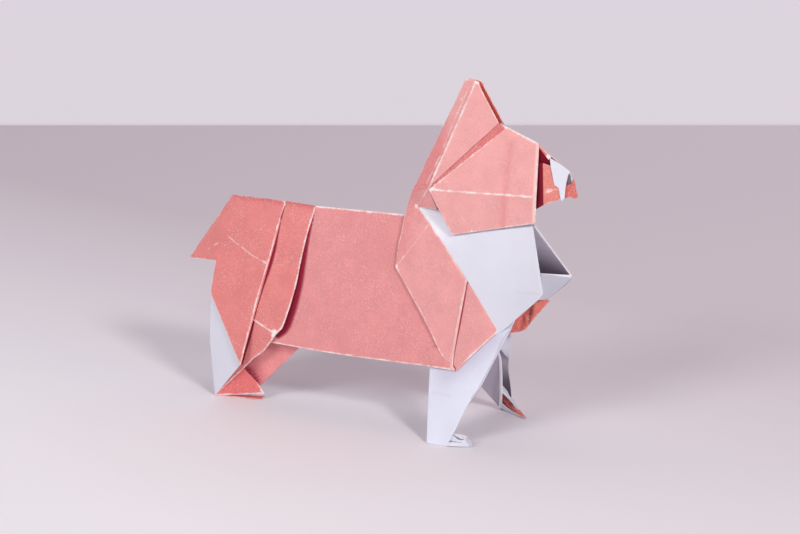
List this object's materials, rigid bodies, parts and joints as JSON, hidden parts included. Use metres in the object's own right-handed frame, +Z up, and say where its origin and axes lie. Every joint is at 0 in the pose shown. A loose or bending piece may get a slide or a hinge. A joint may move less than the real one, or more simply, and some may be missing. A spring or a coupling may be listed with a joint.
{
  "type": "origami dog",
  "caption": "Standing dog folded from one sheet of two-coloured paper, with pleated rump, pointed ears, open chest flaps and splayed legs.",
  "frame": {"origin": "centre of the bounding box seen from above, at the level of the soles on the table", "axes": "+X towards the nose, +Y towards the dog's left side, +Z up from the table"},
  "size_m": [0.0902, 0.0288, 0.0703],
  "materials": {
    "paper": "matte red-pink paper with a white reverse and white worn folds"
  },
  "bodies": {
    "root": {"folded_sheet": "paper"}
  },
  "joints": []
}
